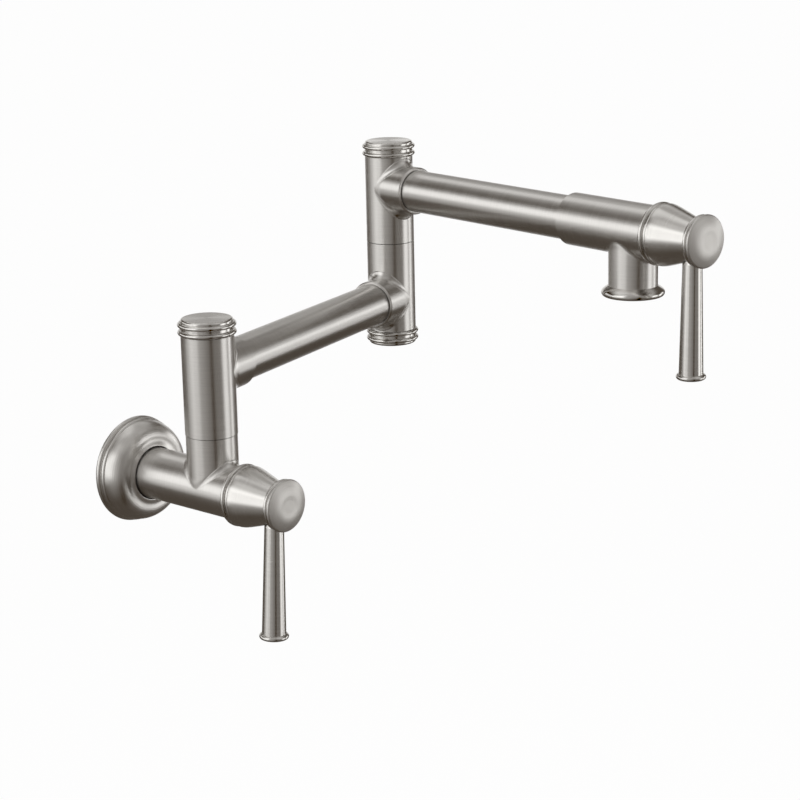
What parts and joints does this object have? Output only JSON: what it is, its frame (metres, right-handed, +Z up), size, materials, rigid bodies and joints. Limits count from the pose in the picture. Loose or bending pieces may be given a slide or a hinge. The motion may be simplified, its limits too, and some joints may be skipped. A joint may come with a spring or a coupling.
{
  "type": "wall mounted pot filler",
  "caption": "Wall mounted pot filler tap with folding swivel arms, a quarter turn valve at the wall and one at the spout, and tapered lever handles.",
  "frame": {"origin": "centre of the wall inlet on the wall face", "axes": "+Z up, the wall is the plane Y = 0, the tap stands out along -Y, +X to the right when facing the wall"},
  "size_m": [0.2715, 0.3084, 0.2643],
  "materials": {
    "satin_metal": "brushed nickel, satin",
    "polished_metal": "nickel, polished beads",
    "bare_brass": "machined",
    "rubber": "moulded",
    "ceramic": "lapped alumina",
    "white_plastic": "moulded",
    "stainless_steel": "bright"
  },
  "bodies": {
    "wall_body": {"flange_gasket": "rubber", "wall_flange": "satin_metal", "flange_grip_ring": "rubber", "inlet_body": "satin_metal", "post_1_spindle": "bare_brass", "post_1_o_rings": "rubber", "post_1_retaining_nut": "bare_brass", "valve_1_seat_seal": "rubber", "valve_1_cartridge": "bare_brass", "valve_1_fixed_disc": "ceramic", "valve_1_ring": "polished_metal", "valve_1_bonnet_nut": "bare_brass"},
    "handle_1": {"valve_1_turning_disc": "ceramic", "valve_1_spindle": "bare_brass", "valve_1_spindle_seal": "rubber", "handle_1_hub": "satin_metal", "handle_1_screw": "stainless_steel", "handle_1_face": "satin_metal", "lever_1": "satin_metal"},
    "arm_1": {"post_1_body": "satin_metal", "post_1_thrust_washer": "white_plastic", "post_1_cap": "polished_metal", "post_1_cap_seal": "rubber", "arm_1_tube": "satin_metal", "elbow_lower_post": "satin_metal", "elbow_bottom_cap": "polished_metal", "elbow_bottom_cap_seal": "rubber", "elbow_spindle": "bare_brass", "elbow_o_rings": "rubber", "elbow_retaining_nut": "bare_brass"},
    "arm_2": {"elbow_upper_post": "satin_metal", "elbow_thrust_washer": "white_plastic", "elbow_top_cap": "polished_metal", "elbow_top_cap_seal": "rubber", "arm_2_tube": "satin_metal", "spout_body": "satin_metal", "outlet_rim": "polished_metal", "aerator_washer": "rubber", "aerator_housing": "white_plastic", "aerator_screen": "stainless_steel", "valve_2_seat_seal": "rubber", "valve_2_cartridge": "bare_brass", "valve_2_fixed_disc": "ceramic", "valve_2_ring": "polished_metal", "valve_2_bonnet_nut": "bare_brass"},
    "handle_2": {"valve_2_turning_disc": "ceramic", "valve_2_spindle": "bare_brass", "valve_2_spindle_seal": "rubber", "handle_2_hub": "satin_metal", "handle_2_screw": "stainless_steel", "handle_2_face": "satin_metal", "lever_2": "satin_metal"}
  },
  "joints": [
    {"name": "handle_1_turn", "type": "hinge", "parent": "wall_body", "child": "handle_1", "pos_m": [0, -0.1015, 0], "axis": [0, -1, 0], "range_deg": [0, 90]},
    {"name": "arm_1_swivel", "type": "hinge", "parent": "wall_body", "child": "arm_1", "pos_m": [0, -0.0715, 0.034], "axis": [0, 0, 1], "range_deg": [-204, 1]},
    {"name": "elbow_swivel", "type": "hinge", "parent": "arm_1", "child": "arm_2", "pos_m": [0.22057, -0.02462, 0.1115], "axis": [0, 0, 1], "continuous": true},
    {"name": "handle_2_turn", "type": "hinge", "parent": "arm_2", "child": "handle_2", "pos_m": [0.18724, -0.24764, 0.1485], "axis": [-0.1478, -0.989, 0], "range_deg": [0, 90]}
  ]
}
